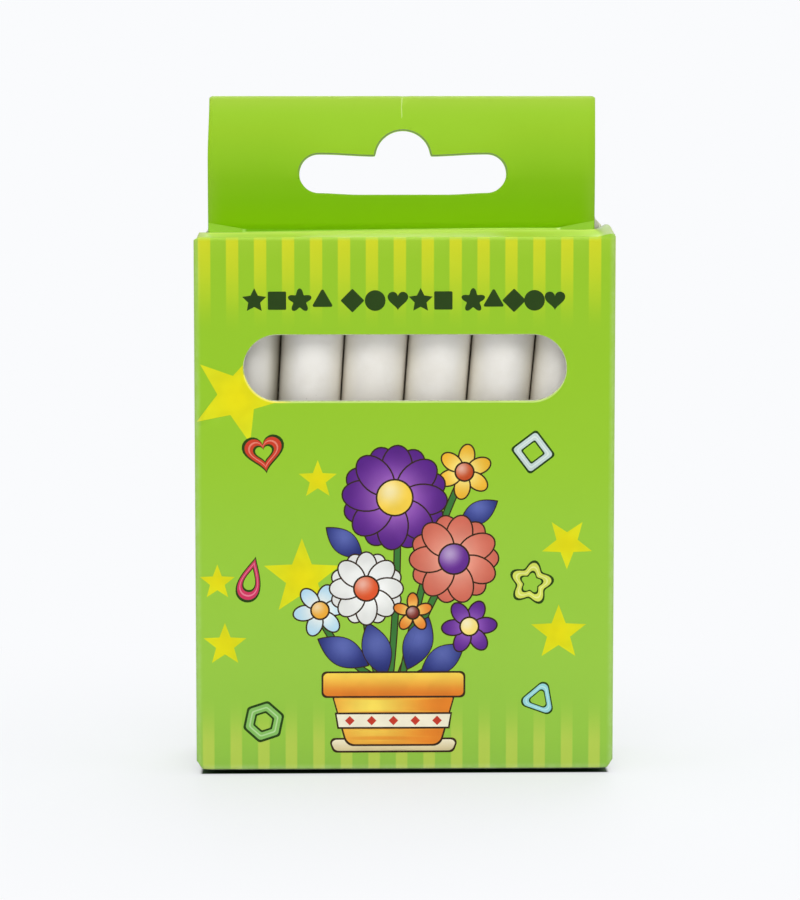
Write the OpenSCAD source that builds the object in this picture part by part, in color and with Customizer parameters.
// Hanging carton of chalk sticks: one folded card blank with a window and a
// hang slot, a lid that tucks in behind the front panel, and two rows of
// tapered sticks that stand on the closed bottom and lean against each other.
// Millimetres, +Z up. The origin is at the middle of the bottom, and the
// front panel faces -Y.

/* [Chalk] */
// Length of a stick
stick_len = 80; // [70:0.5:90]
// Diameter of a stick at its wide end, which stands up
wide_d = 10; // [9.6:0.1:12]
// Diameter of a stick at its narrow end, which draws out of the mould first
narrow_d = 9.25; // [8:0.05:9.5]
// Bevel at both ends of a stick
bevel = 0.7; // [0.2:0.1:1.5]
// Sticks in a row
per_row = 6; // [5:1:8]
// Spare width in a row, which lets the sticks lean
row_play = 4.2; // [3.5:0.1:7]
// Gap between neighbours in a row
stick_gap = 0.03; // [0.01:0.01:0.1]
// Gap between the front row and the back row
row_gap = 0.1; // [0.05:0.05:0.5]

/* [Board] */
// Thickness of the card
board = 0.4; // [0.3:0.05:0.6]
// Outer radius of the upright folds
fold_r = 0.8; // [0.7:0.1:1.5]
// Gap between two plies that lie on each other without glue
ply_gap = 0.05; // [0.02:0.01:0.1]

/* [Box] */
// Clear height over the sticks
headroom = 0.85; // [0.7:0.05:6]
// Clearance behind the back row
back_clear = 0.5; // [0.2:0.1:3]
// Clearance between the tuck flap and the front row
tuck_clear = 0.39; // [0.2:0.01:2]
// Clearance between a row's end sticks and the side panels
side_clear = 0.05; // [0.02:0.01:0.3]
// Width of the glue flap inside the right side panel
glue_w = 9; // [6:0.5:10]
// Length of each minor flap in the bottom
minor_len = 21; // [12:1:22]
// Step between the edge of a bottom flap and the panel that it meets
flap_step = 1.2; // [0.6:0.1:3]
// Length of each dust flap under the lid
dust_len = 18; // [10:1:22]
// Taper of a dust flap's sides
dust_taper = 2; // [0:0.5:4]

/* [Window] */
// Margin between the window's ends and the panel's edges
window_side = 7.6; // [5:0.2:12]
// Height of the window, which has full round ends
window_h = 10.4; // [6:0.2:20]
// Depth of the window's middle below the top edge
window_drop = 20.25; // [18:0.25:50]

/* [Header] */
// Height of the header over the lid
header_h = 21.3; // [19:0.1:32]
// Step from the side of the box in to the side of the header
header_inset = 1.6; // [1:0.1:4]
// Radius of the header's top corners
header_corner = 1.2; // [0.5:0.1:4]
// How far the header bows forward at its middle
header_bow = 0.8; // [0.3:0.1:1]
// Width of the hang slot
slot_w = 33; // [28:0.5:36]
// Height of the hang slot, which has full round ends
slot_h = 6.2; // [5:0.1:8]
// Height of the slot's middle over the lid
slot_up = 8.8; // [7:0.1:12]
// Radius of the hook's seat in the slot
seat_r = 4.4; // [3:0.1:5]
// Height of the seat's centre over the slot's middle
seat_up = 2.7; // [1:0.1:3]

/* [Lid] */
// Length of the tuck flap
tuck_len = 8; // [5:0.5:11]
// Radius of the tuck flap's free corners
tuck_corner = 4; // [1:0.5:5]
// Step from the box's inside in to the tuck flap's side
tuck_side = 0.7; // [0.3:0.1:3]
// Gap between the front panel and the closed lid's fold
lid_gap = 0.15; // [0.1:0.01:0.4]
// Step from the side of the box in to the side of the lid
lid_inset = 0.1; // [0:0.05:0.5]
// Gap between the lid's back edge and the header
hinge_gap = 0.1; // [0.05:0.01:0.2]

/* [Hidden] */
$fn = 64;
// The header's bow has a long radius, so its circle takes more segments.
bow_fn = 240;
// Facets round the lid's front fold.
fold_steps = 8;
// Slant of the tuck flap beyond what its swing needs, in degrees.
spare_slant = 0.5;
// Every cut reaches past its faces by this much.
past = 1;

// Widths
inner_w = per_row * wide_d + row_play;
box_w = inner_w + 2 * board;
half_w = box_w / 2;
inner_half = inner_w / 2;

// Depths, from the outside of the front panel. The tuck flap slants inward, so
// that its tip swings clear of the front panel as the stiff lid opens.
row_depth = 2 * wide_d + row_gap;
tuck_slant = asin(tuck_len / (2 * row_depth)) + spare_slant;
fold_y = board + lid_gap + board;
row_front = fold_y + tuck_len * sin(tuck_slant) + tuck_clear;
front_row_y = row_front + wide_d / 2;
back_row_y = front_row_y + wide_d + row_gap;
inner_back = row_front + row_depth + back_clear;
box_d = inner_back + board;
hinge_y = box_d - 2 * board;

// Heights
floor_z = 3 * board;
dust_z = floor_z + stick_len + headroom;
lid_z = dust_z + board + ply_gap;
box_h = lid_z + board;
window_z = box_h - window_drop;
slot_z = box_h + slot_up;

// The header is a shallow arc about an axis along X, behind the box.
header_w = box_w - 2 * header_inset;
bow_r = pow(header_h / 2, 2) / (2 * header_bow) + header_bow / 2;
bow_y = hinge_y - header_bow + bow_r;
bow_z = box_h + header_h / 2;

// Leans, in degrees. Each stick narrows downward, so a packed row fans out:
// the foot of the first stick meets one side panel, and the head of the last
// stick meets the other.
fan = 2 * atan((wide_d - narrow_d) / 2 / stick_len);
function lean_room(width) =
    width - 2 * side_clear - (per_row - 1) * (narrow_d + stick_gap) - (narrow_d + wide_d) / 2;
function spread(width) = per_row * wide_d * (1 / cos(atan(lean_room(width) / stick_len)) - 1);
function last_lean(width) = atan((lean_room(width) - spread(width)) / stick_len);
function lean(i, width) = last_lean(width) - (per_row - 1 - i) * fan;

// Place of each stick's axis at the floor, across a row of this width.
function half_foot(i, width) = narrow_d / 2 / cos(lean(i, width));
function foot_x(i, width) =
    i == 0
        ? -width / 2 + side_clear + half_foot(0, width)
        : foot_x(i - 1, width) + half_foot(i - 1, width) + half_foot(i, width) + stick_gap;

// The sticks' names run from left to right, the front row first.
stick_count = 2 * per_row;
function stick_name(n) = str("chalk_", n < 10 ? "0" : "", n);

// ---------- shapes ----------

// A slot outline of width w and height h, with full round ends.
module stadium(w, h) {
    square([w - h, h], center = true);
    for (side = [-1, 1])
        translate([side * (w - h) / 2, 0])
            circle(d = h);
}

// A tab outline that hangs down from y = 0, with its two free corners rounded.
module tab(w, h, corner) {
    r = min(corner, h / 2);
    translate([-w / 2, r - h])
        square([w, h - r]);
    translate([r - w / 2, -h])
        square([w - 2 * r, h]);
    for (side = [-1, 1])
        translate([side * (w / 2 - r), r - h])
            circle(r);
}

// The box's plan, between the outside (inset 0) and the inside (inset board).
module plan(inset) {
    r = fold_r - inset;
    w = box_w - 2 * inset;
    d = box_d - 2 * inset;
    translate([r - w / 2, inset])
        square([w - 2 * r, d]);
    translate([-w / 2, inset + r])
        square([w, d - 2 * r]);
    for (side = [-1, 1], y = [inset + r, box_d - inset - r])
        translate([side * (w / 2 - r), y])
            circle(r);
}

// A plate with its outline in the XZ plane and its faces at y0 and y0 + thick.
module upright(y0, thick) {
    translate([0, y0 + thick, 0])
        rotate([90, 0, 0])
            linear_extrude(thick)
                children();
}

// ---------- carton ----------

// The four panels, up to the folds under the lid. The front panel runs on to
// the lid's top face and the back panel to the header.
module sleeve() {
    panels_z = 2 * board;
    top_z = dust_z + board;
    translate([0, 0, panels_z])
        linear_extrude(top_z - panels_z)
            difference() {
                plan(0);
                plan(board);
            }
    flat_half = half_w - fold_r;
    translate([-flat_half, 0, 0])
        cube([2 * flat_half, board, box_h - ply_gap]);
    translate([-flat_half, inner_back, board])
        cube([2 * flat_half, board, box_h - board]);
}

module window_cut() {
    upright(-past, board + 2 * past)
        translate([0, window_z])
            stadium(box_w - 2 * window_side, window_h);
}

// The bottom is glued: a major flap from the front, one from the back over it,
// and two minor flaps innermost.
module bottom() {
    linear_extrude(board)
        intersection() {
            plan(0);
            translate([-half_w, 0])
                square([box_w, box_d - flap_step]);
        }
    translate([0, 0, board])
        linear_extrude(board)
            intersection() {
                plan(0);
                translate([-half_w, flap_step])
                    square([box_w, box_d - flap_step]);
            }
    for (side = [0, 1])
        mirror([side, 0, 0])
            translate([inner_half - minor_len, board, 2 * board])
                cube([minor_len + board / 2, box_d - 2 * board, board]);
}

// The glue flap runs on from the back panel, inside the right side panel.
module glue_flap() {
    translate([inner_half - board, inner_back - glue_w, floor_z])
        cube([board, glue_w, dust_z - floor_z - flap_step]);
}

// A dust flap folds in from each side panel, just under the lid.
module dust_flaps() {
    root_y = row_front;
    end_y = inner_back - flap_step;
    for (side = [0, 1])
        mirror([side, 0, 0])
            translate([0, 0, dust_z])
                linear_extrude(board)
                    polygon([
                        [inner_half + board / 2, root_y],
                        [inner_half - dust_taper, root_y],
                        [inner_half - dust_len, root_y + dust_taper],
                        [inner_half - dust_len, end_y - dust_taper],
                        [inner_half - dust_taper, end_y],
                        [inner_half + board / 2, end_y]
                    ]);
}

// The header's outline, seen from the front, with the hang slot cut out.
module header_outline() {
    difference() {
        translate([0, box_h - board])
            mirror([0, 1])
                tab(header_w, header_h + board, header_corner);
        translate([0, slot_z]) {
            stadium(slot_w, slot_h);
            translate([0, seat_up])
                circle(seat_r);
        }
    }
}

// The back panel folds over forward at the top and comes down again, so the
// header is two glued plies, bowed forward a little.
module header() {
    intersection() {
        upright(hinge_y - header_bow - past, past + header_bow + 2 * board)
            header_outline();
        translate([-half_w, bow_y, bow_z])
            rotate([0, 90, 0])
                difference() {
                    cylinder(h = box_w, r = bow_r, $fn = bow_fn);
                    translate([0, 0, -past])
                        cylinder(h = box_w + 2 * past, r = bow_r - 2 * board, $fn = bow_fn);
                }
    }
}

module carton() {
    color("yellowgreen")
        translate([0, -box_d / 2, 0]) {
            difference() {
                sleeve();
                window_cut();
            }
            bottom();
            glue_flap();
            dust_flaps();
            header();
        }
}

// ---------- lid ----------

// The lid and its tuck flap seen along X, with the round fold between them. The
// tuck flap is drawn longer than it is, and cut to its outline below.
module lid_section() {
    back_y = hinge_y - hinge_gap;
    turn = 90 + tuck_slant;
    out = [-cos(tuck_slant), -sin(tuck_slant)];
    down = (tuck_len + past) * [sin(tuck_slant), -cos(tuck_slant)];
    fold = [fold_y, lid_z];
    polygon(concat(
        [[back_y, lid_z], [back_y, lid_z + board]],
        [for (k = [0 : fold_steps])
            let (a = 90 + turn * k / fold_steps)
                fold + board * [cos(a), sin(a)]],
        [fold + board * out + down, fold + down, fold]
    ));
}

// What is cut away around the tuck flap, seen from the front. It ends just under
// the lid, so the fold keeps its full width over the side panels.
module tuck_waste(w, h) {
    difference() {
        translate([-half_w, -h - 2 * past])
            square([box_w, h + 2 * past - ply_gap / 2]);
        tab(w, h, tuck_corner);
    }
}

// The lid runs on from the header's front ply and folds down into the tuck flap.
module lid() {
    lid_w = box_w - 2 * lid_inset;
    tuck_w = inner_w - 2 * tuck_side;
    color("yellowgreen")
        translate([0, -box_d / 2, 0])
            difference() {
                translate([-lid_w / 2, 0, 0])
                    rotate([90, 0, 90])
                        linear_extrude(lid_w)
                            lid_section();
                translate([0, 0, lid_z])
                    upright(-past, box_d + 2 * past)
                        tuck_waste(tuck_w, tuck_len * cos(tuck_slant));
            }
}

// ---------- chalk ----------

// A stick as it is moulded: tapered, with a small bevel at each end.
module stick() {
    rotate_extrude()
        polygon([
            [0, 0],
            [narrow_d / 2 - bevel, 0],
            [narrow_d / 2, bevel],
            [wide_d / 2, stick_len - bevel],
            [wide_d / 2 - bevel, stick_len],
            [0, stick_len]
        ]);
}

// Stick i of a row of this width, leaning to +X on the edge of its foot.
module standing_stick(i, width) {
    angle = lean(i, width);
    rise = (narrow_d / 2 - bevel) * sin(angle) + ply_gap;
    translate([foot_x(i, width) + rise * tan(angle), 0, floor_z + rise])
        rotate([0, angle, 0])
            stick();
}

// The front row leans right. The back row leans left, and stands clear of the
// glue flap on the right.
module chalk(n) {
    front = n <= per_row;
    color("whitesmoke")
        if (front)
            translate([0, front_row_y - box_d / 2, 0])
                standing_stick(n - 1, inner_w);
        else
            translate([-board / 2, back_row_y - box_d / 2, 0])
                mirror([1, 0, 0])
                    standing_stick(stick_count - n, inner_w - board);
}

carton();
lid();
for (n = [1 : stick_count])
    chalk(n);
